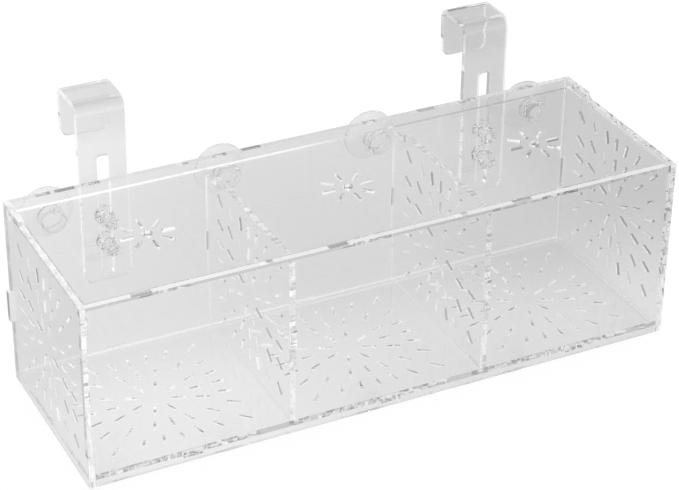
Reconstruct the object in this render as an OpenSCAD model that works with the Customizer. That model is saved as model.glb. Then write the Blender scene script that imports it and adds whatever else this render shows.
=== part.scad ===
// Three-compartment fish breeding box in clear acrylic sheet.
// Flat sheets join with tabs and slots. The lid swings on two square tabs in the raised rear
// corners of the end panels. Two hooks slide up and down behind the rear panel on clamp screws,
// and four suction cups hold the rear panel against the tank glass.
// +Z is up and +Y points at the tank glass. The origin is on the base plane, midway between the
// end panels and midway between the front face and the back of the hooks.

/* [Box] */
// Overall width across the end panels
box_w = 300; // [240:1:400]
// Depth from the front face to the back of the rear panel
box_d = 98; // [86:1:140]
// Height of the front panel and of the lid's upper face
front_h = 93.5; // [80:0.5:130]
// How far the rear panel and the hinge corners rise above the front panel
rear_rise = 2.5; // [2:0.5:8]
// Thickness of the acrylic sheet
sheet_t = 3; // [2.5:0.1:4]
// Height of the floor's underside above the base plane
floor_lift = 2.5; // [1:0.5:8]

/* [Tabs] */
// Width of each floor and divider tab
tab_w = 10; // [6:0.5:20]
// Clearance round a tab in its slot
tab_gap = 0.1; // [0.05:0.05:0.2]
// Thickness of the glue line where one sheet butts against another
glue_gap = 0.05; // [0.03:0.01:0.1]
// Height of the end panel's lower finger
low_finger_h = 16; // [8:0.5:24]
// Height of the end panel's upper finger
top_finger_h = 8.5; // [5:0.5:14]
// Distance from the front panel's top down to the upper finger
top_finger_drop = 5; // [3:0.5:10]
// Height of the base of the rear panel's side tab
side_tab_z = 33; // [20:1:40]
// Height of the rear panel's side tab
side_tab_h = 16; // [8:0.5:20]
// How far the side tab stands out of the end panel
side_tab_proud = 1.5; // [0.5:0.1:3]

/* [Water slots] */
// Length of each water slot
vent_l = 6.5; // [4:0.1:7]
// Width of each water slot
vent_w = 1.2; // [0.8:0.1:1.8]
// Reach of the inner ring of eight slots
inner_ring = 10.8; // [10:0.1:12]
// Half width of the middle ring of sixteen slots
middle_ring = 20.7; // [19.5:0.1:21.5]
// Half width of the outer ring of twenty-four slots
outer_ring = 32; // [30:0.5:33]
// How far in front of the middle of the depth the patterns of slots lie
burst_shift = 1.7; // [0:0.1:3]

/* [Lid] */
// Gap between the lid and the panels round it
lid_gap = 0.5; // [0.3:0.1:1]
// Gap between the closed lid and the dividers below it
lid_rest_gap = 0.2; // [0.1:0.05:0.4]
// Distance from the rear panel to the hinge axis
hinge_inset = 4.5; // [4:0.1:8]
// Clearance round a hinge tab's corners in its hole
hinge_gap = 0.08; // [0.05:0.01:0.15]
// Length of the raised hinge corner along the end panel
ear_l = 20.5; // [16:0.5:30]
// Length of the notch in a divider below the hinge
relief_l = 11; // [9:0.5:16]
// Depth of the notch in a divider below the hinge
relief_h = 4.3; // [3:0.1:8]
// Reach of the lid's ring of slots
lid_ring = 10; // [9:0.5:14]
// Diameter of the hole in the middle of the lid's ring
lid_hole_d = 5; // [3:0.5:8]

/* [Hooks] */
// Distance of each hook's centre line from the end panel's outer face
hook_inset = 49; // [48:0.5:55]
// Width of a hook
hook_w = 23.5; // [18:0.5:26]
// Thickness of a hook
hook_t = 3; // [2.5:0.1:4]
// Gap between a hook's strip and its lip, for the tank's rim
hook_gap = 19; // [14:0.5:22]
// Outer radius of a hook's bends
hook_bend_r = 6; // [4.5:0.1:7]
// Height of a hook's top above the rear panel
hook_rise = 40; // [36:0.5:60]
// Depth of a hook's lip below its top
lip_h = 26; // [16:0.5:32]
// Depth of a hook's strip below the rear panel's top
strip_drop = 55.5; // [50:0.5:60]
// Radius of the strip's and the lip's corners
hook_corner_r = 4; // [2:0.5:6]
// Width of a hook's slot
slot_w = 6; // [5.6:0.1:7]
// Height of the slot's top above the rear panel
slot_rise = 12; // [8:0.5:20]
// Strip left below the slot
slot_margin = 3.5; // [3:0.5:6]
// Radius of the slot's corners
slot_corner_r = 1.5; // [1:0.1:2.5]

/* [Clamp screws] */
// Diameter of a clamp screw
screw_d = 5; // [4:0.1:5.4]
// Distance of the upper screw below the rear panel's top
screw_drop = 22; // [18:0.5:26]
// Distance between the two screws of a hook
screw_pitch = 14; // [12:0.5:18]
// Diameter of a screw's head
head_d = 9; // [8.4:0.1:11]
// Thickness of a screw's head
head_t = 2.6; // [2:0.1:3.2]
// Width across a nut's flats
nut_af = 8; // [7.6:0.1:10]
// Thickness of a nut
nut_t = 4; // [3:0.1:5]
// Length of screw past the nut
screw_end = 1.5; // [0.5:0.1:3]

/* [Suction cups] */
// Distance of the outer cups' axes from the end panel's outer face
outer_cup_inset = 22; // [18:0.5:22.5]
// Distance of the inner cups' axes from the middle of the nearer divider
inner_cup_offset = 10; // [8:0.5:22]
// Distance of the outer cups' axes below the rear panel's top
outer_cup_drop = 15; // [12:0.5:16]
// Distance of the inner cups' axes below the rear panel's top
inner_cup_drop = 12.5; // [12:0.5:16]
// Diameter of a cup's rim
cup_d = 27; // [22:0.5:27.5]
// Distance from the rear panel to a cup's rim
cup_depth = 7.5; // [7.5:0.5:12]
// Depth of the hollow in a cup
cup_hollow = 3.5; // [2.5:0.1:3.8]
// Thickness of a cup's rim
cup_rim_t = 0.8; // [0.6:0.1:1.2]
// Diameter of the boss behind a cup
boss_d = 12; // [10:0.5:14]
// Length of the boss behind a cup
boss_l = 2.2; // [1.5:0.1:3]
// Diameter of a cup's neck
neck_d = 7; // [5:0.5:8]
// Diameter of a cup's button
button_d = 12; // [10:0.5:13]
// Thickness of a cup's button
button_t = 4.5; // [3:0.1:6]

/* [Hidden] */

$fn = 64;
past = 1;                                       // overshoot of a cut past a face
slide_gap = 0.1;                                // gap between flat faces that slide or turn
turn_gap = 0.05;                                // radial clearance of a turning fit

rear_h = front_h + rear_rise;
half_w = box_w / 2;
inner_half_w = half_w - sheet_t;
rear_in = box_d - sheet_t;                      // inner face of the rear panel
butt_front = sheet_t + glue_gap;                // where a sheet butts against the front panel
butt_rear = rear_in - glue_gap;                 // where a sheet butts against the rear panel
butt_half_w = inner_half_w - glue_gap;          // where a sheet butts against an end panel
bay_pitch = box_w / 3;
bay_x = [-bay_pitch, 0, bay_pitch];             // middle of each compartment
divider_x = [-bay_pitch / 2, bay_pitch / 2];

floor_top = floor_lift + sheet_t;
lid_z = front_h - sheet_t;
divider_top = lid_z - lid_rest_gap;
panel_mid_y = (sheet_t + rear_in) / 2;
panel_mid_z = (floor_top + divider_top) / 2;
burst_y = panel_mid_y - burst_shift;            // middle of each pattern of slots
divider_tab_z = panel_mid_z - tab_w / 2 + 2.5;

hinge_y = rear_in - hinge_inset;
hinge_z = lid_z + sheet_t / 2;
hinge_hole_r = sheet_t / sqrt(2) + hinge_gap;   // clears the corners of the square hinge tab
ear_y = box_d - ear_l;

hook_x = half_w - hook_inset;
hook_y = box_d + slide_gap;                     // front face of a hook's strip
hook_d = 2 * hook_t + hook_gap;
hook_top = rear_h + hook_rise;
lip_low = hook_top - lip_h;
strip_low = rear_h - strip_drop;
slot_low = strip_low + slot_margin;
slot_high = rear_h + slot_rise;

upper_screw_z = rear_h - screw_drop;
lower_screw_z = upper_screw_z - screw_pitch;
head_y = hook_y + hook_t + slide_gap;           // underside of a screw's head
nut_y = rear_in - slide_gap;                    // face of a nut against the rear panel
thread_end_y = nut_y - nut_t - screw_end;

cup_x_outer = half_w - outer_cup_inset;
cup_x_inner = bay_pitch / 2 - inner_cup_offset;
outer_cup_z = rear_h - outer_cup_drop;
inner_cup_z = rear_h - inner_cup_drop;
front_y = -(hook_y + hook_d) / 2;               // front face in the part's own frame

CLEAR = [0.86, 0.93, 0.95, 0.45];
CLEAR_LID = [0.90, 0.96, 0.98, 0.40];
SOFT = [0.88, 0.90, 0.90, 0.65];
NYLON = [0.84, 0.86, 0.86, 0.85];

// ---- placing -------------------------------------------------------------------------------

// Shifts a piece drawn from the front face of the box into the part's own frame
module in_box() {
    translate([0, front_y, 0]) children();
}

// A sheet drawn across the width and height, its front face at depth y
module upright_sheet(y) {
    translate([0, y + sheet_t, 0]) rotate([90, 0, 0]) linear_extrude(sheet_t) children();
}

// A sheet drawn across the depth and height, centred at x
module cross_sheet(x) {
    translate([x - sheet_t / 2, 0, 0]) rotate([90, 0, 90]) linear_extrude(sheet_t) children();
}

// A level sheet drawn across the width and depth, its underside at height z
module level_sheet(z) {
    translate([0, 0, z]) linear_extrude(sheet_t) children();
}

// Both a piece and its mirror image across the middle of the box
module both_sides() {
    children();
    mirror([1, 0]) children();
}

// ---- outlines ------------------------------------------------------------------------------

// Distance from the middle of a square ring to its side at angle a
function ring_reach(half, a) = half / max(abs(cos(a)), abs(sin(a)));

// One water slot that points at the middle, at the given reach and angle
module vent(reach, a) {
    rotate(a) translate([reach, 0]) square([vent_l, vent_w], center = true);
}

// Starburst of water slots: a round ring of 8 inside square rings of 16 and 24
module starburst() {
    for (i = [0:7]) vent(inner_ring, (i + 0.5) * 45);
    for (i = [0:15]) vent(ring_reach(middle_ring, i * 22.5), i * 22.5);
    for (i = [0:23]) vent(ring_reach(outer_ring, i * 15), i * 15);
}

// A slot for a tab of size [w, h] with its lower corner at [x, y]
module tab_slot(x, y, w, h) {
    translate([x - tab_gap, y - tab_gap]) square([w + 2 * tab_gap, h + 2 * tab_gap]);
}

// A rectangle with round corners, from its lower corner
module round_bar(w, h, r) {
    translate([r, 0]) square([w - 2 * r, h]);
    translate([0, r]) square([w, h - 2 * r]);
    for (x = [r, w - r], y = [r, h - r]) translate([x, y]) circle(r);
}

// A tongue centred on x = 0 with round lower corners and a square top
module tongue(w, low, high, r) translate([-w / 2, low]) {
    translate([r, 0]) square([w - 2 * r, high - low]);
    translate([0, r]) square([w, high - low - r]);
    for (x = [r, w - r]) translate([x, r]) circle(r);
}

// An upside-down U outline's outer side: square foot, round upper corners
module arch(y, d, low, high, r) {
    translate([y, low]) square([d, high - low - r]);
    translate([y + r, low]) square([d - 2 * r, high - low]);
    for (side = [y + r, y + d - r]) translate([side, high - r]) circle(r);
}

// ---- sheets --------------------------------------------------------------------------------

module front_panel() color(CLEAR) in_box() upright_sheet(0) difference() {
    translate([-half_w, 0]) square([box_w, front_h]);
    both_sides() {
        tab_slot(-half_w - past, -past, sheet_t + past, low_finger_h + past);
        tab_slot(-half_w - past, front_h - top_finger_drop - top_finger_h,
            sheet_t + past, top_finger_h);
    }
    for (x = bay_x) tab_slot(x - tab_w / 2, floor_lift, tab_w, sheet_t);
    for (x = divider_x) tab_slot(x - sheet_t / 2, divider_tab_z, sheet_t, tab_w);
}

module rear_panel() color(CLEAR) in_box() upright_sheet(rear_in) difference() {
    union() {
        translate([-butt_half_w, 0]) square([2 * butt_half_w, rear_h]);
        translate([-half_w - side_tab_proud, side_tab_z])
            square([box_w + 2 * side_tab_proud, side_tab_h]);
    }
    for (x = bay_x) tab_slot(x - tab_w / 2, floor_lift, tab_w, sheet_t);
    for (x = divider_x) tab_slot(x - sheet_t / 2, divider_tab_z, sheet_t, tab_w);
    both_sides() {
        for (at = [[cup_x_inner, inner_cup_z], [cup_x_outer, outer_cup_z]])
            translate(at) circle(neck_d / 2 + turn_gap);
        for (z = [upper_screw_z, lower_screw_z])
            translate([hook_x, z]) circle(screw_d / 2 + tab_gap);
    }
}

// Raised corner of an end panel, with a round hollow where it steps down to the level edge
module hinge_ear() {
    translate([ear_y, front_h - past]) square([ear_l, rear_rise + past]);
    difference() {
        translate([ear_y - rear_rise, front_h - past]) square([rear_rise + past, rear_rise + past]);
        translate([ear_y - rear_rise, rear_h]) circle(rear_rise);
    }
}

module end_outline() difference() {
    union() {
        translate([butt_front, 0]) square([box_d - butt_front, front_h]);
        square([sheet_t + past, low_finger_h]);
        translate([0, front_h - top_finger_drop - top_finger_h])
            square([sheet_t + past, top_finger_h]);
        hinge_ear();
    }
    tab_slot(rear_in, side_tab_z, sheet_t + past, side_tab_h);
    translate([hinge_y, hinge_z]) circle(hinge_hole_r);
    translate([burst_y, panel_mid_z]) starburst();
}

module left_panel() color(CLEAR) in_box() cross_sheet(-half_w + sheet_t / 2) end_outline();

module right_panel() color(CLEAR) in_box() cross_sheet(half_w - sheet_t / 2) end_outline();

module floor_panel() color(CLEAR) in_box() level_sheet(floor_lift) difference() {
    union() {
        translate([-butt_half_w, butt_front]) square([2 * butt_half_w, butt_rear - butt_front]);
        for (x = bay_x) translate([x - tab_w / 2, 0]) square([tab_w, box_d]);
    }
    for (x = bay_x) translate([x, burst_y]) starburst();
}

module divider(side) color(CLEAR) in_box() cross_sheet(divider_x[side]) difference() {
    union() {
        translate([butt_front, floor_top + glue_gap])
            square([butt_rear - butt_front, divider_top - floor_top - glue_gap]);
        translate([0, divider_tab_z]) square([box_d, tab_w]);
    }
    translate([rear_in - relief_l, divider_top - relief_h]) square([relief_l + past, relief_h + past]);
    translate([burst_y, panel_mid_z]) starburst();
}

module left_divider() divider(0);

module right_divider() divider(1);

module lid() color(CLEAR_LID) in_box() level_sheet(lid_z) difference() {
    union() {
        translate([-inner_half_w + lid_gap, sheet_t + lid_gap])
            square([2 * (inner_half_w - lid_gap), hinge_y + sheet_t / 2 - sheet_t - lid_gap]);
        translate([-half_w, hinge_y - sheet_t / 2]) square([box_w, sheet_t]);
    }
    for (x = bay_x) translate([x, burst_y]) {
        circle(lid_hole_d / 2);
        for (i = [0:7]) vent(lid_ring, i * 45);
    }
}

// ---- hooks ---------------------------------------------------------------------------------

// Side outline of a hook: the strip, the bend over the tank's rim and the lip
module hook_side() difference() {
    arch(hook_y, hook_d, strip_low, hook_top, hook_bend_r);
    arch(hook_y + hook_t, hook_gap, strip_low - past, hook_top - hook_t, hook_bend_r - hook_t);
    translate([hook_y + hook_t, strip_low - past])
        square([hook_gap + hook_t + past, lip_low - strip_low + past]);
}

// Rear view of a hook's strip or lip, as a bar that starts at depth y and is d deep
module hook_view(y, d) {
    translate([0, y + d, 0]) rotate([90, 0, 0]) linear_extrude(d) children();
}

module hook(side) color(CLEAR) in_box() translate([side * hook_x, 0, 0]) difference() {
    intersection() {
        translate([-hook_w / 2, 0, 0]) rotate([90, 0, 90]) linear_extrude(hook_w) hook_side();
        union() {
            hook_view(hook_y - past, hook_t + hook_gap + past)
                tongue(hook_w, strip_low, hook_top + past, hook_corner_r);
            hook_view(hook_y + hook_t, hook_gap + hook_t + past)
                tongue(hook_w, lip_low, hook_top + past, hook_corner_r);
        }
    }
    hook_view(hook_y - past, hook_t + 2 * past)
        translate([-slot_w / 2, slot_low]) round_bar(slot_w, slot_high - slot_low, slot_corner_r);
}

module left_hook() hook(-1);

module right_hook() hook(1);

// ---- clamp screws and nuts -----------------------------------------------------------------

// Turns a piece drawn along +Z so that it points along +Y from [x, y, z]
module along_y(x, y, z) {
    in_box() translate([x, y, z]) rotate([-90, 0, 0]) children();
}

module screw(side, z) color(NYLON) along_y(side * hook_x, thread_end_y, z) {
    shank_l = head_y - thread_end_y;
    cylinder(h = shank_l, d = screw_d);
    translate([0, 0, shank_l]) difference() {
        cylinder(h = head_t, d = head_d);
        translate([-head_d / 2 - past, -head_t / 6, head_t / 2])
            cube([head_d + 2 * past, head_t / 3, head_t]);
    }
}

module nut(side, z) color(NYLON) along_y(side * hook_x, nut_y - nut_t, z) difference() {
    cylinder(h = nut_t, d = nut_af / cos(30), $fn = 6);
    translate([0, 0, -past]) cylinder(h = nut_t + 2 * past, d = screw_d + 2 * turn_gap);
}

module left_upper_screw() screw(-1, upper_screw_z);

module left_lower_screw() screw(-1, lower_screw_z);

module right_upper_screw() screw(1, upper_screw_z);

module right_lower_screw() screw(1, lower_screw_z);

module left_upper_nut() nut(-1, upper_screw_z);

module left_lower_nut() nut(-1, lower_screw_z);

module right_upper_nut() nut(1, upper_screw_z);

module right_lower_nut() nut(1, lower_screw_z);

// ---- suction cups --------------------------------------------------------------------------

// Half section of a cup: radius across, distance from the back of the rear panel upward
module cup_section() difference() {
    rim_r = cup_d / 2;
    boss_r = boss_d / 2;
    hollow_r = rim_r - cup_rim_t;
    ball_r = (hollow_r * hollow_r + cup_hollow * cup_hollow) / (2 * cup_hollow);
    button_face = -sheet_t - slide_gap;
    button_round = button_t / 2;
    union() {
        polygon([
            [0, slide_gap], [boss_r, slide_gap], [boss_r, boss_l],
            [rim_r, cup_depth - cup_rim_t], [rim_r, cup_depth], [0, cup_depth]
        ]);
        translate([0, button_face - button_t / 2]) square([neck_d / 2, -button_face + button_t / 2 + boss_l]);
        translate([0, button_face - button_round]) square([button_d / 2, button_round]);
        translate([0, button_face - button_t]) square([button_d / 2 - button_round, button_t]);
        intersection() {
            translate([button_d / 2 - button_round, button_face - button_round]) circle(button_round);
            translate([0, button_face - button_t]) square([button_d / 2, button_t]);
        }
    }
    translate([0, cup_depth - cup_hollow + ball_r]) circle(ball_r);
}

module cup(x, z) color(SOFT) along_y(x, box_d, z) rotate_extrude() cup_section();

module outer_left_cup() cup(-cup_x_outer, outer_cup_z);

module inner_left_cup() cup(-cup_x_inner, inner_cup_z);

module inner_right_cup() cup(cup_x_inner, inner_cup_z);

module outer_right_cup() cup(cup_x_outer, outer_cup_z);

front_panel();
rear_panel();
left_panel();
right_panel();
floor_panel();
left_divider();
right_divider();
lid();
left_hook();
right_hook();
left_upper_screw();
left_lower_screw();
right_upper_screw();
right_lower_screw();
left_upper_nut();
left_lower_nut();
right_upper_nut();
right_lower_nut();
outer_left_cup();
inner_left_cup();
inner_right_cup();
outer_right_cup();
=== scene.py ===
"""Clear acrylic fish breeding box: finishes, moulded parts, studio and camera.

Lengths in the classes are in millimetres, as the parts were drawn, and every mesh is built in
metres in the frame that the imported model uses.
"""

import logging
import math
from dataclasses import dataclass, field
from enum import Enum
from typing import ClassVar

import bpy
from mathutils import Matrix, Vector


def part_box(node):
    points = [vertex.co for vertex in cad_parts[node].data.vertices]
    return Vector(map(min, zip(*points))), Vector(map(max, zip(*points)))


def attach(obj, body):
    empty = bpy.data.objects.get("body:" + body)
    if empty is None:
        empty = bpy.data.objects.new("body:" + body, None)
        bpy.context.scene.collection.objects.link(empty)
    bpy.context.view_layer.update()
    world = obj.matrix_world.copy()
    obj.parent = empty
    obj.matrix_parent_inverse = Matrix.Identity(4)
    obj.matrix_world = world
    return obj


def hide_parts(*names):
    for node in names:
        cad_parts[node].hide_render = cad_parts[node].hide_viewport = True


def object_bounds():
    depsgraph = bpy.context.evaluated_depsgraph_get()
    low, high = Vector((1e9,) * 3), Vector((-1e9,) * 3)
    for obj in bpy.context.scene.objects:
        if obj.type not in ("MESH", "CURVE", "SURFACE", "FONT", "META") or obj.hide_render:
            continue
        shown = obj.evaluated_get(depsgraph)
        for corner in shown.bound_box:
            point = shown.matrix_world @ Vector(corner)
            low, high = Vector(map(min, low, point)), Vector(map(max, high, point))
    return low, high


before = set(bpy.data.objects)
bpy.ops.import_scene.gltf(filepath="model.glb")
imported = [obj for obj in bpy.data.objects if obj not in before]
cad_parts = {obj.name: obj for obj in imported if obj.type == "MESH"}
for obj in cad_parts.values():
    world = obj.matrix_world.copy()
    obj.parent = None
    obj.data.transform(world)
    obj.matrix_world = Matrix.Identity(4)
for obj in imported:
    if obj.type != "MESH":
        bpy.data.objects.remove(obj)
CAD_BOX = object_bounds()

MM = 0.001
# Directions in which an outline's arc starts or ends, in degrees.
FORWARD, OUTWARD, BACKWARD = -90.0, 0.0, 90.0
LOG = logging.getLogger("breeding_box")


# ---- small helpers ---------------------------------------------------------------------------


def mm(*values: float) -> Vector:
    """Turns millimetres into metres.

    Args:
        values: the lengths in millimetres, one for each axis.

    Returns:
        The same place or size in metres.
    """
    return Vector([value * MM for value in values])


def deselect_all() -> None:
    """Leaves nothing selected, so that an operator acts on its own piece alone."""
    if bpy.context.object and bpy.context.object.mode != "OBJECT":
        bpy.ops.object.mode_set(mode="OBJECT")
    bpy.ops.object.select_all(action="DESELECT")


def make_active(piece: bpy.types.Object) -> None:
    """Selects one piece alone and makes it active.

    Args:
        piece: the piece that the next operator acts on.
    """
    deselect_all()
    piece.select_set(True)
    bpy.context.view_layer.objects.active = piece


def settle(piece: bpy.types.Object, name: str) -> bpy.types.Object:
    """Names a piece and moves its place, turn and scale into its mesh.

    Args:
        piece: the piece as its operators left it.
        name: the name that it gets.

    Returns:
        The same piece, with its object at the origin.
    """
    make_active(piece)
    bpy.ops.object.transform_apply(location=True, rotation=True, scale=True)
    piece.name = name
    piece.data.name = name
    return piece


class BooleanKind(Enum):
    """How a tool shape changes a piece."""

    CUT = "DIFFERENCE"
    COMMON = "INTERSECT"


def combine(piece: bpy.types.Object, tool: bpy.types.Object, kind: BooleanKind) -> None:
    """Cuts a piece with a tool shape, or keeps what the two share, and removes the tool.

    Args:
        piece: the piece that stays.
        tool: the shape that is used up.
        kind: whether to cut or to keep the common part.
    """
    make_active(piece)
    change = piece.modifiers.new("shape", "BOOLEAN")
    change.operation = kind.value
    change.solver = "EXACT"
    change.object = tool
    bpy.ops.object.modifier_apply(modifier=change.name)
    bpy.data.objects.remove(tool, do_unlink=True)


def smooth(piece: bpy.types.Object, degrees: float) -> None:
    """Shades a piece smooth, apart from edges sharper than an angle.

    Args:
        piece: the piece to shade.
        degrees: the angle past which an edge stays sharp.
    """
    make_active(piece)
    bpy.ops.object.shade_smooth_by_angle(angle=math.radians(degrees))


class Tree:
    """A node tree with short calls to add and join nodes."""

    def __init__(self, nodes: bpy.types.NodeTree) -> None:
        """Wraps a tree.

        Args:
            nodes: a material's, a world's or a group's tree.
        """
        self.tree = nodes

    def add(self, kind: str, **settings: object) -> bpy.types.Node:
        """Adds a node.

        Args:
            kind: Blender's name for the node's type.
            settings: properties of the node itself.

        Returns:
            The new node.
        """
        node = self.tree.nodes.new(kind)
        for name, value in settings.items():
            setattr(node, name, value)
        return node

    def join(self, source: bpy.types.NodeSocket, target: bpy.types.NodeSocket) -> None:
        """Joins an output to an input.

        Args:
            source: the output.
            target: the input.
        """
        self.tree.links.new(source, target)

    def feed(self, value: object, target: bpy.types.NodeSocket) -> None:
        """Joins an output to an input, or writes a plain value into it.

        Args:
            value: an output socket or a plain value.
            target: the input.
        """
        if isinstance(value, bpy.types.NodeSocket):
            self.join(value, target)
        else:
            target.default_value = value

    def maths(self, operation: str, *values: object) -> bpy.types.NodeSocket:
        """Adds a Math node.

        Args:
            operation: the Math node's operation.
            values: a number or an output socket for each input.

        Returns:
            The node's output.
        """
        node = self.add("ShaderNodeMath", operation=operation)
        for value, target in zip(values, node.inputs):
            self.feed(value, target)
        return node.outputs[0]

    def product(self, first: object, *others: object) -> bpy.types.NodeSocket:
        """Multiplies values.

        Args:
            first: a number or an output socket.
            others: what it is multiplied by, one or more.

        Returns:
            The product.
        """
        result = first
        for other in others:
            result = self.maths("MULTIPLY", result, other)
        return result

    def vector(self, operation: str, *values: object) -> bpy.types.NodeSocket:
        """Adds a Vector Math node.

        Args:
            operation: the node's operation.
            values: a vector or an output socket for each input.

        Returns:
            The node's output: a number for a dot product, a vector for the rest.
        """
        node = self.add("ShaderNodeVectorMath", operation=operation)
        for value, target in zip(values, node.inputs):
            self.feed(value, target)
        return node.outputs["Value" if operation == "DOT_PRODUCT" else "Vector"]

    def parts(self, vector: bpy.types.NodeSocket) -> tuple[bpy.types.NodeSocket, ...]:
        """Splits a vector.

        Args:
            vector: the vector.

        Returns:
            Its X, Y and Z.
        """
        node = self.add("ShaderNodeSeparateXYZ")
        self.join(vector, node.inputs["Vector"])
        return tuple(node.outputs)

    def blend(self, factor: object, first: object, second: object) -> bpy.types.NodeSocket:
        """Mixes two colours.

        Args:
            factor: 0 for the first colour, 1 for the second.
            first: a colour or an output socket.
            second: a colour or an output socket.

        Returns:
            The mixed colour.
        """
        node = self.add("ShaderNodeMix", data_type="RGBA")
        for value, name in ((factor, "Factor"), (first, "A"), (second, "B")):
            sockets = [s for s in node.inputs if s.name == name and s.enabled]
            self.feed(value, sockets[0])
        return [s for s in node.outputs if s.enabled][0]


def grey(level: float) -> tuple[float, float, float, float]:
    """Makes a neutral colour for a socket.

    Args:
        level: how light it is, from 0 for black to 1 for white.

    Returns:
        The opaque colour.
    """
    return (level, level, level, 1.0)


# ---- shared effects --------------------------------------------------------------------------


class ThinAxis(Enum):
    """The direction across a sheet's thickness."""

    X = (1.0, 0.0, 0.0)
    Y = (0.0, 1.0, 0.0)
    Z = (0.0, 0.0, 1.0)


@dataclass(frozen=True)
class Fade:
    """A soft change from one level to another."""

    start: float
    end: float
    low: float
    high: float

    def on(self, tree: Tree, value: object) -> bpy.types.NodeSocket:
        """Adds the change to a tree.

        Args:
            tree: the tree.
            value: what the change follows.

        Returns:
            The level.
        """
        node = tree.add("ShaderNodeMapRange", interpolation_type="SMOOTHSTEP")
        names = ("From Min", "From Max", "To Min", "To Max")
        for name, setting in zip(names, (self.start, self.end, self.low, self.high)):
            node.inputs[name].default_value = setting
        tree.join(value, node.inputs["Value"])
        return node.outputs["Result"]


@dataclass
class Effects:
    """The node groups that more than one finish uses."""

    lines_detail: float = 2.0
    cloud_detail: float = 4.0
    cloud_distortion: float = 0.6
    haze_from: float = 0.52
    haze_to: float = 0.75
    side: Fade = Fade(-0.0002, 0.0002, 0.0, 1.0)
    back_and_down: tuple[float, float, float] = (0.0, 1.0, -1.0)
    facing: float = 0.5
    cut_edge: bpy.types.NodeTree = field(init=False)
    handling: bpy.types.NodeTree = field(init=False)

    def __post_init__(self) -> None:
        """Builds both groups."""
        self.cut_edge = self.build_cut_edge()
        self.handling = self.build_handling()

    @staticmethod
    def new_group(name: str, inputs: dict[str, str], outputs: tuple[str, ...]) -> Tree:
        """Starts a shader node group.

        Args:
            name: the group's name.
            inputs: socket type for each input's name.
            outputs: the outputs' names, each a number.

        Returns:
            The group's empty tree.
        """
        group = bpy.data.node_groups.new(name, "ShaderNodeTree")
        for label, kind in inputs.items():
            group.interface.new_socket(label, in_out="INPUT", socket_type=kind)
        for label in outputs:
            group.interface.new_socket(label, in_out="OUTPUT", socket_type="NodeSocketFloat")
        return Tree(group)

    def build_cut_edge(self) -> bpy.types.NodeTree:
        """Tells laser-cut edges from polished faces, and rules the laser's lines across them.

        Returns:
            A group with Along and Across masks, the lines' Lines value, an Outline mask for the
            sheet's own edges, a Bonded mask for those that face back or down, and a Side value
            that rises through the thickness.
        """
        tree = self.new_group(
            "cut edge",
            {
                "Axis": "NodeSocketVector",
                "Centre": "NodeSocketVector",
                "Reach": "NodeSocketVector",
                "Lines Scale": "NodeSocketFloat",
            },
            ("Along", "Across", "Lines", "Outline", "Bonded", "Side"),
        )
        source = tree.add("NodeGroupInput").outputs
        sink = tree.add("NodeGroupOutput").inputs
        place = tree.add("ShaderNodeTexCoord").outputs
        axis, reach = source["Axis"], source["Reach"]

        straight = tree.vector("DOT_PRODUCT", place["Normal"], axis)
        straight = tree.maths("ABSOLUTE", straight)
        tree.join(tree.maths("GREATER_THAN", straight, self.facing), sink["Along"])
        tree.join(tree.maths("LESS_THAN", straight, self.facing), sink["Across"])

        noise = tree.add("ShaderNodeTexNoise")
        noise.inputs["Detail"].default_value = self.lines_detail
        depth = tree.vector("PROJECT", place["Object"], axis)
        flat = tree.vector("SUBTRACT", place["Object"], depth)
        tree.join(flat, noise.inputs["Vector"])
        tree.join(source["Lines Scale"], noise.inputs["Scale"])
        tree.join(noise.outputs["Fac"], sink["Lines"])

        offset = tree.vector("SUBTRACT", place["Object"], source["Centre"])
        past = tree.vector("SUBTRACT", tree.vector("ABSOLUTE", offset), reach)
        past_x, past_y, past_z = tree.parts(past)
        furthest = tree.maths("MAXIMUM", tree.maths("MAXIMUM", past_x, past_y), past_z)
        tree.join(tree.maths("GREATER_THAN", furthest, 0.0), sink["Outline"])

        behind = tree.vector("MULTIPLY", offset, self.back_and_down)
        behind = tree.parts(tree.vector("SUBTRACT", behind, reach))
        normal = tree.parts(place["Normal"])
        found = [
            tree.product(
                tree.maths("GREATER_THAN", tree.maths("ABSOLUTE", facing), self.facing),
                tree.maths("GREATER_THAN", outside, 0.0),
            )
            for facing, outside in zip(normal[1:], behind[1:])
        ]
        tree.join(tree.maths("MAXIMUM", *found), sink["Bonded"])

        through = tree.vector("DOT_PRODUCT", offset, axis)
        tree.join(self.side.on(tree, through), sink["Side"])
        return tree.tree

    def build_handling(self) -> bpy.types.NodeTree:
        """Lays faint wiping marks on a clear surface.

        Returns:
            A group with a Haze value and a Height.
        """
        tree = self.new_group(
            "handling marks", {"Marks Scale": "NodeSocketFloat"}, ("Haze", "Height")
        )
        source = tree.add("NodeGroupInput").outputs
        sink = tree.add("NodeGroupOutput").inputs
        place = tree.add("ShaderNodeTexCoord").outputs
        cloud = tree.add("ShaderNodeTexNoise")
        cloud.inputs["Detail"].default_value = self.cloud_detail
        cloud.inputs["Distortion"].default_value = self.cloud_distortion
        tree.join(place["Object"], cloud.inputs["Vector"])
        tree.join(source["Marks Scale"], cloud.inputs["Scale"])
        haze = tree.add("ShaderNodeMapRange")
        haze.inputs["From Min"].default_value = self.haze_from
        haze.inputs["From Max"].default_value = self.haze_to
        tree.join(cloud.outputs["Fac"], haze.inputs["Value"])
        tree.join(haze.outputs["Result"], sink["Haze"])
        tree.join(cloud.outputs["Fac"], sink["Height"])
        return tree.tree


# ---- finishes --------------------------------------------------------------------------------


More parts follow.
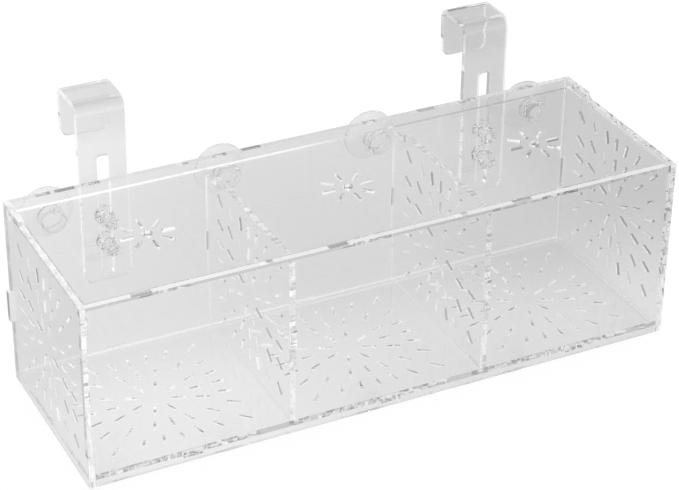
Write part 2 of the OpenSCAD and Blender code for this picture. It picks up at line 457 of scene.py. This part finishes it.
@dataclass(frozen=True, kw_only=True)
class ClearFinish:
    """What every clear finish shares: the shader, its tint and how it lets lamps through.

    A ray that the sheets have passed on more often than most_mirrored leaves straight, because
    one caught inside a polished sheet would end black.
    """

    name: str
    tint: float
    shade: float
    ior: float
    marks_scale: float
    skin: float
    skin_depth: float
    clarity: float = 1.0
    most_mirrored: float = 40.0
    dimmed: float = 0.8

    def start(self) -> tuple[bpy.types.Material, Tree, bpy.types.Node]:
        """Makes the material with its clear shader, which casts only a pale shadow.

        Returns:
            The material, its tree and the clear shader.
        """
        material = bpy.data.materials.new(self.name)
        material.use_nodes = True
        material.node_tree.nodes.clear()
        tree = Tree(material.node_tree)
        clear = tree.add("ShaderNodeBsdfPrincipled")
        clear.inputs["IOR"].default_value = self.ior
        clear.inputs["Transmission Weight"].default_value = self.clarity
        path = tree.add("ShaderNodeLightPath").outputs
        caught = tree.maths("GREATER_THAN", path["Ray Depth"], self.most_mirrored)
        surface = clear.outputs["BSDF"]
        for when, level in ((path["Is Shadow Ray"], self.shade), (caught, self.dimmed)):
            passing = tree.add("ShaderNodeBsdfTransparent")
            passing.inputs["Color"].default_value = grey(level)
            mix = tree.add("ShaderNodeMixShader")
            tree.join(when, mix.inputs["Fac"])
            tree.join(surface, mix.inputs[1])
            tree.join(passing.outputs["BSDF"], mix.inputs[2])
            surface = mix.outputs["Shader"]
        output = tree.add("ShaderNodeOutputMaterial")
        tree.join(surface, output.inputs["Surface"])
        return material, tree, clear

    def marks(self, tree: Tree, effects: Effects) -> bpy.types.Node:
        """Adds the handling marks at this finish's scale.

        Args:
            tree: the material's tree.
            effects: the shared node groups.

        Returns:
            The group's node.
        """
        marks = tree.add("ShaderNodeGroup", node_tree=effects.handling)
        marks.inputs["Marks Scale"].default_value = self.marks_scale
        return marks

    def raise_skin(self, tree: Tree, height: object, clear: bpy.types.Node) -> None:
        """Gives the surface its fine relief.

        Args:
            tree: the material's tree.
            height: the relief's height.
            clear: the clear shader.
        """
        bump = tree.add("ShaderNodeBump")
        bump.inputs["Strength"].default_value = self.skin
        bump.inputs["Distance"].default_value = self.skin_depth
        tree.join(height, bump.inputs["Height"])
        tree.join(bump.outputs["Normal"], clear.inputs["Normal"])


@dataclass(frozen=True, kw_only=True)
class CutAcrylic(ClearFinish):
    """Clear acrylic: polished faces with faint wiping marks, and laser-cut edges.

    The cut edges glow with painted light, emission that stands for what the sheet would lead to
    them: most where they are bonded, and in a slot on one side of the sheet only; painted shade
    darkens the slot's other side.
    """

    tint: float = 0.985
    edge_tint: float = 1.0
    shade: float = 0.93
    ior: float = 1.49
    marks_scale: float = 28.0
    skin: float = 0.008
    skin_depth: float = 0.0002
    haze_roughness: float = 0.012
    lines_scale: float = 1400.0
    outline_inset: float = 0.0034
    outline_roughness: float = 0.14
    # The glow levels below are painted light (emission) on the cut edges; the slot's tint is
    # painted shade on the side of a slot's wall away from its glow, and the last field picks
    # which side that is.
    outline_painted_glow: float = 0.02
    bonded_painted_glow: float = 0.05
    slot_roughness: float = 0.06
    slot_painted_glow: float = 0.09
    slot_painted_shade: float = 0.5
    highlight_side_low: bool = True

    def build(
        self, effects: Effects, axis: ThinAxis, edges_along: bool, node: str
    ) -> bpy.types.Material:
        """Makes the material.

        Args:
            effects: the shared node groups.
            axis: the axis that tells faces from cut edges.
            edges_along: True where the cut edges face along the axis, False where the faces do.
            node: the CAD piece that wears it.

        Returns:
            The material.
        """
        material, tree, clear = self.start()
        group = tree.add("ShaderNodeGroup", node_tree=effects.cut_edge)
        low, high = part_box(node)
        inset = Vector((self.outline_inset,) * 3)
        group.inputs["Axis"].default_value = axis.value
        group.inputs["Lines Scale"].default_value = self.lines_scale
        group.inputs["Centre"].default_value = (low + high) / 2
        group.inputs["Reach"].default_value = (high - low) / 2 - inset + Vector(axis.value)
        cut = group.outputs
        edge = cut["Along" if edges_along else "Across"]
        outline = tree.product(cut["Outline"], edge)
        slot = tree.maths("SUBTRACT", edge, outline)
        # One side of each slot's wall gets painted shade and the other side painted glow.
        painted_shade_side, painted_highlight_side = cut["Side"], tree.maths("SUBTRACT", 1.0, cut["Side"])
        if not self.highlight_side_low:
            painted_shade_side, painted_highlight_side = painted_highlight_side, painted_shade_side

        colour = tree.blend(edge, grey(self.tint), grey(self.edge_tint))
        # Painted shade: a darker colour on one side of each slot's wall.
        colour = tree.blend(tree.product(slot, painted_shade_side), colour, grey(self.slot_painted_shade))
        tree.join(colour, clear.inputs["Base Color"])

        # Painted glow: emission on the sheet's outlines and on one side of each slot's wall.
        glow = tree.maths(
            "ADD",
            tree.product(outline, self.outline_painted_glow),
            tree.product(slot, painted_highlight_side, self.slot_painted_glow),
        )
        # Painted glow on the edges that are bonded to other sheets.
        bonded = tree.product(cut["Bonded"], edge, self.bonded_painted_glow)
        tree.join(tree.maths("ADD", glow, bonded), clear.inputs["Emission Color"])
        clear.inputs["Emission Strength"].default_value = 1.0

        sawn = tree.maths(
            "ADD",
            tree.product(slot, self.slot_roughness),
            tree.product(outline, self.outline_roughness),
        )
        marks = self.marks(tree, effects)
        haze = tree.product(marks.outputs["Haze"], self.haze_roughness)
        rough = tree.maths("ADD", haze, tree.product(sawn, cut["Lines"]))
        tree.join(rough, clear.inputs["Roughness"])
        self.raise_skin(tree, tree.product(cut["Lines"], edge), clear)
        return material


@dataclass(frozen=True, kw_only=True)
class MouldedClear(ClearFinish):
    """Clear moulded plastic, a little cloudy, with a fine skin."""

    tint: float = 1.0
    shade: float = 0.9
    marks_scale: float = 120.0
    skin_depth: float = 0.0001
    roughness: float
    cloud: float = 0.01

    def build(self, effects: Effects) -> bpy.types.Material:
        """Makes the material.

        Args:
            effects: the shared node groups.

        Returns:
            The material.
        """
        material, tree, clear = self.start()
        marks = self.marks(tree, effects)
        haze = marks.outputs["Haze"]
        colour = tree.blend(haze, grey(self.tint), grey(self.tint - self.cloud))
        tree.join(colour, clear.inputs["Base Color"])
        rough = tree.maths("MULTIPLY_ADD", haze, self.cloud, self.roughness)
        tree.join(rough, clear.inputs["Roughness"])
        self.raise_skin(tree, marks.outputs["Height"], clear)
        return material


@dataclass
class Finishes:
    """Every finish on the box."""

    effects: Effects = field(default_factory=Effects)
    nylon: bpy.types.Material = field(init=False)
    vinyl: bpy.types.Material = field(init=False)

    def __post_init__(self) -> None:
        """Builds the moulded finishes, which several pieces share."""
        nylon = MouldedClear(
            name="clear nylon", ior=1.5, clarity=0.94, roughness=0.02, skin=0.05
        )
        vinyl = MouldedClear(
            name="soft vinyl", ior=1.46, clarity=0.88, roughness=0.01, skin=0.03
        )
        self.nylon = nylon.build(self.effects)
        self.vinyl = vinyl.build(self.effects)

    def sheet(self, node: str, axis: ThinAxis) -> bpy.types.Material:
        """Makes one sheet's finish.

        Args:
            node: the sheet's CAD piece.
            axis: the direction of its thickness.

        Returns:
            The material.
        """
        # Painted glow on the cut edges and painted shade in the slots differ by the sheet's
        # direction.
        upright_end = {
            "outline_painted_glow": 0.008,
            "bonded_painted_glow": 0.045,
            "slot_painted_glow": 0.045,
            "slot_painted_shade": 1.0,
        }
        level = {
            "bonded_painted_glow": 0.12,
            "highlight_side_low": False,
            "most_mirrored": 11.0,
            "dimmed": 0.76,
        }
        own = {ThinAxis.X: upright_end, ThinAxis.Y: {}, ThinAxis.Z: level}[axis]
        finish = CutAcrylic(name=f"cut acrylic {node}", **own)
        return finish.build(self.effects, axis, False, node)

    def hook(self, node: str) -> bpy.types.Material:
        """Makes one hook's finish.

        Args:
            node: the hook's CAD piece.

        Returns:
            The material.
        """
        # The hook's cut edges get painted glow, and its slots no painted shade.
        finish = CutAcrylic(
            name=f"bent acrylic {node}",
            outline_painted_glow=0.09,
            bonded_painted_glow=0.0,
            slot_painted_glow=0.09,
            slot_painted_shade=1.0,
        )
        return finish.build(self.effects, ThinAxis.X, True, node)


def dress(node: str, material: bpy.types.Material) -> None:
    """Gives a CAD piece its finish.

    Args:
        node: the CAD piece.
        material: its finish.
    """
    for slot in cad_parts[node].material_slots:
        slot.material = material


# ---- the box ---------------------------------------------------------------------------------


@dataclass
class SheetBox:
    """The slotted sheets of the box and its lid."""

    finishes: Finishes
    thin: dict[str, ThinAxis] = field(
        default_factory=lambda: {
            "front_panel": ThinAxis.Y,
            "rear_panel": ThinAxis.Y,
            "left_panel": ThinAxis.X,
            "right_panel": ThinAxis.X,
            "left_divider": ThinAxis.X,
            "right_divider": ThinAxis.X,
            "floor_panel": ThinAxis.Z,
            "lid": ThinAxis.Z,
        }
    )

    def build(self) -> None:
        """Dresses each sheet by the direction of its thickness."""
        for node, axis in self.thin.items():
            dress(node, self.finishes.sheet(node, axis))
            LOG.info("sheet %s", node)


@dataclass
class TankHook:
    """One bent strip that hangs over the tank's rim."""

    node: str
    finishes: Finishes

    def build(self) -> None:
        """Dresses the hook."""
        dress(self.node, self.finishes.hook(self.node))
        LOG.info("hook %s", self.node)


# ---- turned and moulded pieces ---------------------------------------------------------------

Outline = tuple[tuple[float, float], ...]


@dataclass(frozen=True)
class Turned:
    """A piece turned about an axis along Y, from pairs of radius and depth."""

    outline: Outline
    sides: int = 64

    def build(self, x: float, y: float, z: float) -> bpy.types.Object:
        """Extrudes a disc ring by ring along the outline.

        Args:
            x: the axis's place across.
            y: where depth 0 lies.
            z: the axis's height.

        Returns:
            The closed piece.
        """
        radius, depth = self.outline[0]
        deselect_all()
        bpy.ops.mesh.primitive_circle_add(
            vertices=self.sides,
            radius=radius * MM,
            fill_type="NGON",
            location=mm(x, y + depth, z),
            rotation=(math.pi / 2, 0, 0),
        )
        piece = bpy.context.active_object
        bpy.ops.object.mode_set(mode="EDIT")
        for next_radius, next_depth in self.outline[1:]:
            bpy.ops.mesh.extrude_region_move(
                TRANSFORM_OT_translate={"value": mm(0, next_depth - depth, 0)}
            )
            ratio = next_radius / radius
            bpy.ops.transform.resize(
                value=(ratio, 1.0, ratio), center_override=mm(x, y + next_depth, z)
            )
            radius, depth = next_radius, next_depth
        bpy.ops.mesh.select_all(action="SELECT")
        bpy.ops.mesh.normals_make_consistent(inside=False)
        bpy.ops.object.mode_set(mode="OBJECT")
        return piece


def arc(
    centre: tuple[float, float], radius: float, start: float, end: float, steps: int
) -> Outline:
    """Points on an arc of an outline.

    Args:
        centre: the arc's middle, as radius and depth.
        radius: the arc's own radius.
        start: the first angle in degrees, from the radial direction towards more depth.
        end: the last angle.
        steps: how many parts the arc has.

    Returns:
        The points, both ends included.
    """
    angles = [math.radians(start + (end - start) * i / steps) for i in range(steps + 1)]
    return tuple(
        (centre[0] + radius * math.cos(a), centre[1] + radius * math.sin(a)) for a in angles
    )


@dataclass
class Repeated:
    """Pieces of one shape: the first is modelled, and the others are copies of it."""

    nodes: tuple[str, ...]
    finish: bpy.types.Material
    ending: ClassVar[str]
    crease: ClassVar[float]

    def model(self, low: Vector, high: Vector) -> bpy.types.Object:
        """Models one piece. Each kind of piece has its own way.

        Args:
            low: the solid's lowest corner in millimetres.
            high: its highest corner.

        Returns:
            The piece.
        """
        raise NotImplementedError

    def body(self, node: str) -> str:
        """Names the body that a piece moves with: its own, where it turns by itself.

        Args:
            node: the piece's solid.

        Returns:
            The body's name.
        """
        return node

    def build(self) -> None:
        """Models one piece, copies it to the other places and puts all in their solids' stead."""
        start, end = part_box(self.nodes[0])
        first = self.model(start / MM, end / MM)
        settle(first, f"{self.nodes[0]}_{self.ending}")
        smooth(first, self.crease)
        pieces = [first]
        for node in self.nodes[1:]:
            make_active(first)
            bpy.ops.object.duplicate(linked=False)
            copy = bpy.context.active_object
            copy.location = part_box(node)[0] - start
            pieces.append(settle(copy, f"{node}_{self.ending}"))
        for piece, node in zip(pieces, self.nodes):
            finish_piece(piece, self.body(node), node, self.finish)


@dataclass
class SuctionCups(Repeated):
    """Soft one-piece cups: button, neck, boss, bell and thin rim."""

    ending: ClassVar[str] = "moulded"
    crease: ClassVar[float] = 50.0
    gate: Outline = ((0.7, 0.35), (1.0, 0.3), (1.35, 0.05), (1.7, 0.0))
    button_r: float = 6.0
    button_t: float = 4.5
    button_round: float = 2.25
    under_round: float = 0.5
    neck_r: float = 3.45
    neck_fillet: float = 0.5
    neck_rise: float = 0.4
    neck_drop: float = 0.3
    boss_r: float = 6.0
    boss_l: float = 2.2
    boss_round: float = 0.4
    sheet_t: float = 3.0
    gap: float = 0.1
    bell_start: float = 0.25
    bell_swell: float = 0.35
    bell_rings: int = 10
    rim_r: float = 13.5
    rim_t: float = 0.8
    rim_round: float = 0.4
    rim_from: float = -30.0
    lip: float = 0.25
    lip_drop: float = 0.15
    depth: float = 7.5
    hollow: float = 3.5
    hollow_end_r: float = 0.4
    hollow_rings: int = 14
    round_steps: int = 8
    rim_steps: int = 5
    fine_steps: int = 3

    def button(self) -> Outline:
        """The button inside the box, with its moulding gate, and the neck.

        Returns:
            Radius and depth pairs, depth 0 on the back of the rear panel.
        """
        back = -self.sheet_t - self.gap
        face = back - self.button_t
        gate = tuple((radius, face + sink) for radius, sink in self.gate)
        round_at = (self.button_r - self.button_round, face + self.button_round)
        under_at = (self.button_r - self.under_round, back - self.under_round)
        neck = (
            (self.neck_r + self.neck_fillet, back),
            (self.neck_r, back + self.neck_rise),
            (self.neck_r, -self.neck_drop),
            (self.neck_r + self.neck_rise, self.gap),
        )
        return (
            *gate,
            *arc(round_at, self.button_round, FORWARD, OUTWARD, self.round_steps),
            *arc(under_at, self.under_round, OUTWARD, BACKWARD, self.fine_steps),
            *neck,
        )

    def bell(self) -> Outline:
        """The boss, the flared bell, the rim and the hollow.

        Returns:
            Radius and depth pairs, depth 0 on the back of the rear panel.
        """
        boss_at = (self.boss_r - self.boss_round, self.gap + self.boss_round)
        inner = Vector((self.boss_r, self.boss_l - self.bell_start))
        outer = Vector((self.rim_r - self.lip, self.depth - self.rim_t - self.lip_drop))
        flare = []
        for ring in range(self.bell_rings):
            share = ring / (self.bell_rings - 1)
            along = inner.lerp(outer, share)
            flare.append((along.x, along.y + self.bell_swell * math.sin(share * math.pi)))
        rim_at = (self.rim_r - self.rim_round, self.depth - self.rim_round)
        bowl_r = self.rim_r - self.rim_t
        bowl = []
        for ring in range(self.hollow_rings):
            share = ring / (self.hollow_rings - 1)
            radius = bowl_r * (1 - share) + self.hollow_end_r * share
            sink = self.hollow * (1 - (radius / bowl_r) ** 2)
            bowl.append((radius, self.depth - sink))
        return (
            *arc(boss_at, self.boss_round, FORWARD, OUTWARD, self.fine_steps),
            *flare,
            *arc(rim_at, self.rim_round, self.rim_from, BACKWARD, self.rim_steps),
            *bowl,
        )

    def model(self, low: Vector, high: Vector) -> bpy.types.Object:
        """Turns the cup.

        Args:
            low: the solid's lowest corner in millimetres.
            high: its highest corner.

        Returns:
            The cup.
        """
        middle = (low + high) / 2
        turned = Turned((*self.button(), *self.bell()))
        return turned.build(middle.x, high.y - self.depth, middle.z)


@dataclass
class ClampScrews(Repeated):
    """Slotted pan-head screws with a rolled thread."""

    ending: ClassVar[str] = "threaded"
    crease: ClassVar[float] = 40.0
    sides: int = 48
    shank_r: float = 2.5
    root_r: float = 2.15
    point: float = 0.6
    point_l: float = 0.5
    pitch: float = 0.8
    plain_l: float = 1.6
    flank: tuple[float, ...] = (0.12, 0.36, 0.46, 0.7)
    neck_l: float = 0.5
    seat: float = 0.02
    head_r: float = 4.5
    head_t: float = 2.6
    seat_round: float = 0.3
    head_round: float = 0.9
    crown_r: float = 1.5
    crown_from: float = 80.0
    seat_steps: int = 3
    head_steps: int = 6
    slot_l: float = 13.5
    slot_w: float = 1.1
    slot_depth: float = 1.3

    def body(self, node: str) -> str:
        """Names the body that a screw moves with.

        Args:
            node: the screw's solid, which is not used.

        Returns:
            The box's body for every screw.
        """
        return "box"

    def outline(self, length: float) -> Outline:
        """The screw's outline without its slot.

        Args:
            length: the screw's whole length.

        Returns:
            Radius and depth pairs, depth 0 at the thread's end.
        """
        shank = length - self.head_t
        points = [(self.root_r - self.point, 0.0), (self.root_r, self.point_l)]
        for turn in range(int((shank - self.plain_l) / self.pitch)):
            start = self.point_l + turn * self.pitch
            radii = (self.root_r, self.shank_r, self.shank_r, self.root_r)
            points += [(radius, start + along) for radius, along in zip(radii, self.flank)]
        points += [(self.shank_r, shank - self.neck_l), (self.shank_r, shank - self.seat)]
        seat_at = (self.head_r - self.seat_round, shank + self.seat_round)
        head_at = (self.head_r - self.head_round, length - self.head_round)
        points += arc(seat_at, self.seat_round, FORWARD, OUTWARD, self.seat_steps)
        points += arc(head_at, self.head_round, OUTWARD, self.crown_from, self.head_steps)
        points.append((self.crown_r, length))
        return tuple(points)

    def model(self, low: Vector, high: Vector) -> bpy.types.Object:
        """Turns the screw and cuts its slot.

        Args:
            low: the solid's lowest corner in millimetres.
            high: its highest corner.

        Returns:
            The screw.
        """
        x, z = (low.x + high.x) / 2, (low.z + high.z) / 2
        screw = Turned(self.outline(high.y - low.y), self.sides).build(x, low.y, z)
        deselect_all()
        bpy.ops.mesh.primitive_cube_add(
            size=1.0,
            location=mm(x, high.y, z),
            scale=mm(self.slot_l, 2 * self.slot_depth, self.slot_w),
        )
        combine(screw, bpy.context.active_object, BooleanKind.CUT)
        return screw


@dataclass
class ClampNuts(Repeated):
    """Hexagon nuts with chamfered corners and a bore."""

    ending: ClassVar[str] = "hexagon"
    crease: ClassVar[float] = 25.0
    sides: int = 6
    bore_r: float = 2.55
    mouth: float = 0.45
    mouth_l: float = 0.4
    chamfer: float = 0.5
    over: float = 0.05
    past: float = 0.5
    skim: float = 0.01
    same_width: float = 0.05

    def model(self, low: Vector, high: Vector) -> bpy.types.Object:
        """Rounds a hexagon's corners and bores it.

        Args:
            low: the solid's lowest corner in millimetres.
            high: its highest corner.

        Returns:
            The nut.
        """
        middle = (low + high) / 2
        thick = high.y - low.y
        corner_r = (high.x - low.x) / 2
        flat_r = corner_r * math.cos(math.pi / self.sides)
        deselect_all()
        bpy.ops.mesh.primitive_cylinder_add(
            vertices=self.sides,
            radius=corner_r * MM,
            depth=thick * MM,
            location=mm(*middle),
            rotation=(math.pi / 2, math.pi / 2, 0),
        )
        nut = bpy.context.active_object
        self.level_flats(nut, low, high)
        outer = (
            (flat_r, -self.skim),
            (corner_r + self.over, self.chamfer),
            (corner_r + self.over, thick - self.chamfer),
            (flat_r, thick + self.skim),
        )
        wide = self.bore_r + self.mouth
        bore = (
            (wide, -self.past),
            (wide, -self.over),
            (self.bore_r, self.mouth_l),
            (self.bore_r, thick - self.mouth_l),
            (wide, thick + self.over),
            (wide, thick + self.past),
        )
        for outline, kind in ((outer, BooleanKind.COMMON), (bore, BooleanKind.CUT)):
            combine(nut, Turned(outline).build(middle.x, low.y, middle.z), kind)
        return nut

    def level_flats(self, nut: bpy.types.Object, low: Vector, high: Vector) -> None:
        """Turns the hexagon so that two corners lie level, as on the solid.

        Args:
            nut: the hexagon as it was added.
            low: the solid's lowest corner.
            high: the solid's highest corner.
        """
        make_active(nut)
        bpy.ops.object.transform_apply(location=True, rotation=True, scale=True)
        places = [vertex.co.x for vertex in nut.data.vertices]
        if abs((max(places) - min(places)) / MM - (high.x - low.x)) > self.same_width:
            bpy.ops.object.mode_set(mode="EDIT")
            bpy.ops.mesh.select_all(action="SELECT")
            bpy.ops.transform.rotate(
                value=math.pi / self.sides,
                orient_axis="Y",
                center_override=mm(*((low + high) / 2)),
            )
            bpy.ops.object.mode_set(mode="OBJECT")


def finish_piece(
    piece: bpy.types.Object, body: str, node: str, material: bpy.types.Material
) -> None:
    """Gives a new piece its finish, its body and the solid that it stands for.

    Args:
        piece: the finished mesh.
        body: the body that it moves with.
        node: the solid that it replaces.
        material: its finish.
    """
    piece.data.materials.clear()
    piece.data.materials.append(material)
    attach(piece, body)
    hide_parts(node)
    LOG.info("piece %s", piece.name)


# ---- studio ----------------------------------------------------------------------------------


@dataclass(frozen=True)
class Lamp:
    """One soft lamp: where it hangs, its width and its power in watts."""

    name: str
    place: tuple[float, float, float]
    size: float
    power: float

    def build(self) -> None:
        """Hangs the lamp, turned to the box, where the clear sheets don't mirror it."""
        data = bpy.data.lights.new(self.name, "AREA")
        data.size = self.size
        data.energy = self.power
        lamp = bpy.data.objects.new(self.name, data)
        bpy.context.collection.objects.link(lamp)
        lamp.location = self.place
        lamp.rotation_mode = "QUATERNION"
        lamp.rotation_quaternion = (-Vector(self.place)).to_track_quat("-Z", "Y")
        lamp.visible_glossy = False
        lamp.visible_transmission = False


@dataclass
class Studio:
    """Pale floor, soft lamps and pale surroundings.

    Fades across and along grade the floor's glow, painted light and shade which the sheets show.
    Three more fades say where painted shade darkens the floor for rays that were mirrored. The
    last three grade the world: its horizon and what is overhead by the direction across, and the
    rise from one to the other by height.
    """

    floor_size: float = 6.0
    floor_drop: float = 0.0002
    floor_colour: float = 0.95
    floor_glow: float = 0.85
    # Painted light and shade: the floor's glow, which the sheets show, is graded across and
    # along.
    across: tuple[Fade, ...] = (
        Fade(-0.20, -0.12, 0.7, 1.0),
        Fade(-0.10, 0.05, 1.0, 0.87),
        Fade(0.10, 0.24, 1.0, 0.71 / 0.87),
    )
    along: tuple[Fade, ...] = (
        Fade(-0.11, -0.05, 1.0, 0.9),
        Fade(-0.02, 0.07, 1.0, 0.8),
        Fade(0.15, 0.25, 1.0, 1.15),
        Fade(0.235, 0.27, 1.0, 0.9),
    )
    # Painted shade that darkens the floor on the right for mirrored rays, and where it falls.
    mirrored_shade: float = 0.9
    mirrored_shade_beside: Fade = Fade(0.155, 0.20, 0.0, 1.0)
    mirrored_shade_right: Fade = Fade(0.06, 0.12, 0.0, 1.0)
    mirrored_shade_before: Fade = Fade(-0.14, -0.08, 1.0, 0.0)
    horizon: Fade = Fade(0.36, 0.55, 0.72, 0.5904)
    overhead: Fade = Fade(-0.2, 0.35, 0.9, 0.28)
    rise: Fade = Fade(0.58, 0.75, 0.0, 1.0)
    lamps: tuple[Lamp, ...] = (
        Lamp("key lamp", (-0.9, -0.8, 1.4), 1.0, 14.0),
        Lamp("fill lamp", (1.1, -0.5, 1.0), 1.0, 7.0),
        Lamp("top lamp", (0.1, 0.5, 1.7), 1.2, 9.0),
    )

    def painted_mirrored_shade(
        self,
        tree: Tree,
        x: bpy.types.NodeSocket,
        y: bpy.types.NodeSocket,
        path: bpy.types.bpy_prop_collection,
    ) -> bpy.types.NodeSocket:
        """Paints shade on the floor on the right, for rays that a sheet or an edge has mirrored.

        Args:
            tree: the floor's tree.
            x: the place across.
            y: the place along.
            path: the Light Path node's outputs.

        Returns:
            The level that is left.
        """
        before = tree.product(self.mirrored_shade_right.on(tree, x), self.mirrored_shade_before.on(tree, y))
        place = tree.maths("MAXIMUM", before, self.mirrored_shade_beside.on(tree, x))
        straight = tree.maths("ADD", path["Transmission Depth"], path["Transparent Depth"])
        mirrored = tree.maths("GREATER_THAN", path["Ray Depth"], straight)
        return tree.maths("SUBTRACT", 1.0, tree.product(place, mirrored, self.mirrored_shade))

    def floor(self) -> bpy.types.Object:
        """Lays the floor just under the box: white to look at, paler before than behind.

        Returns:
            The floor.
        """
        deselect_all()
        bpy.ops.mesh.primitive_plane_add(
            size=self.floor_size, location=(0, 0, CAD_BOX[0][2] - self.floor_drop)
        )
        plane = bpy.context.active_object
        plane.name = "floor"
        material = bpy.data.materials.new("studio floor")
        material.use_nodes = True
        material.node_tree.nodes.clear()
        tree = Tree(material.node_tree)
        x, y, _ = tree.parts(tree.add("ShaderNodeTexCoord").outputs["Object"])
        path = tree.add("ShaderNodeLightPath").outputs
        # The floor's painted light and shade, as seen through and in the sheets.
        level = tree.product(
            *(fade.on(tree, x) for fade in self.across),
            *(fade.on(tree, y) for fade in self.along),
            self.painted_mirrored_shade(tree, x, y, path),
        )
        level = tree.maths("MAXIMUM", level, path["Is Camera Ray"])
        seen = tree.maths("MAXIMUM", path["Is Camera Ray"], path["Is Transmission Ray"])
        seen = tree.maths("MAXIMUM", seen, path["Is Glossy Ray"])
        matt = tree.add("ShaderNodeBsdfDiffuse")
        matt.inputs["Color"].default_value = grey(self.floor_colour)
        glow = tree.add("ShaderNodeEmission")
        tree.join(level, glow.inputs["Strength"])
        mix = tree.add("ShaderNodeMixShader")
        tree.join(tree.product(seen, self.floor_glow), mix.inputs["Fac"])
        tree.join(matt.outputs["BSDF"], mix.inputs[1])
        tree.join(glow.outputs["Emission"], mix.inputs[2])
        output = tree.add("ShaderNodeOutputMaterial")
        tree.join(mix.outputs["Shader"], output.inputs["Surface"])
        plane.data.materials.append(material)
        return plane

    def surroundings(self) -> None:
        """Makes the world white where it is looked at and greyer overhead."""
        world = bpy.data.worlds.new("studio")
        bpy.context.scene.world = world
        world.use_nodes = True
        world.node_tree.nodes.clear()
        tree = Tree(world.node_tree)
        x, _, z = tree.parts(tree.add("ShaderNodeTexCoord").outputs["Generated"])
        rise = self.rise.on(tree, z)
        level = tree.maths(
            "ADD",
            tree.product(self.horizon.on(tree, x), tree.maths("SUBTRACT", 1.0, rise)),
            tree.product(self.overhead.on(tree, x), rise),
        )
        path = tree.add("ShaderNodeLightPath").outputs
        glow = tree.add("ShaderNodeBackground")
        glow.inputs["Color"].default_value = grey(1.0)
        tree.join(tree.maths("MAXIMUM", level, path["Is Camera Ray"]), glow.inputs["Strength"])
        output = tree.add("ShaderNodeOutputWorld")
        tree.join(glow.outputs["Background"], output.inputs["Surface"])

    def build(self) -> None:
        """Builds the whole studio."""
        self.floor()
        self.surroundings()
        for lamp in self.lamps:
            lamp.build()
        LOG.info("studio")


@dataclass
class Viewpoint:
    """The camera: where it stands and how it is turned, in millimetres and degrees."""

    place: tuple[float, float, float] = (-406.5, -814.4, 593.7)
    azimuth: float = -26.70
    elevation: float = 30.65
    roll: float = 0.65
    lens_mm: float = 117.6
    sensor_mm: float = 36.0

    def build(self) -> None:
        """Makes the camera and hands it to the scene."""
        turn, lift, tilt = (math.radians(v) for v in (self.azimuth, self.elevation, self.roll))
        back = Vector(
            (math.sin(turn) * math.cos(lift), -math.cos(turn) * math.cos(lift), math.sin(lift))
        )
        level = Vector((math.cos(turn), math.sin(turn), 0.0))
        rise = back.cross(level)
        right = level * math.cos(tilt) + rise * math.sin(tilt)
        up = back.cross(right)
        data = bpy.data.cameras.new("camera")
        data.lens = self.lens_mm
        data.sensor_width = self.sensor_mm
        camera = bpy.data.objects.new("camera", data)
        bpy.context.collection.objects.link(camera)
        turned = Matrix((right, up, back)).transposed().to_4x4()
        camera.matrix_world = Matrix.Translation(mm(*self.place)) @ turned
        bpy.context.scene.camera = camera
        LOG.info("camera")


def view_settings(bounces: int = 64) -> None:
    """Sets the plain view transform and the light's bounces.

    Args:
        bounces: how often light may bounce, which is often, for many clear sheets in a row.
    """
    scene = bpy.context.scene
    scene.view_settings.view_transform = "Standard"
    scene.cycles.max_bounces = bounces
    scene.cycles.transmission_bounces = bounces
    scene.cycles.glossy_bounces = bounces
    scene.cycles.transparent_max_bounces = bounces


def main() -> None:
    """Builds every piece in order and reports it."""
    logging.basicConfig(level=logging.INFO, format="%(message)s")
    Viewpoint().build()
    Studio().build()
    finishes = Finishes()
    SheetBox(finishes).build()
    sides = ("left", "right")
    for side in sides:
        TankHook(f"{side}_hook", finishes).build()
    clamps = [f"{side}_{level}" for side in sides for level in ("upper", "lower")]
    cups = tuple(f"{row}_{side}_cup" for side in sides for row in ("outer", "inner"))
    ClampScrews(tuple(f"{clamp}_screw" for clamp in clamps), finishes.nylon).build()
    ClampNuts(tuple(f"{clamp}_nut" for clamp in clamps), finishes.nylon).build()
    SuctionCups(cups, finishes.vinyl).build()
    view_settings()


if __name__ == "__main__":
    main()
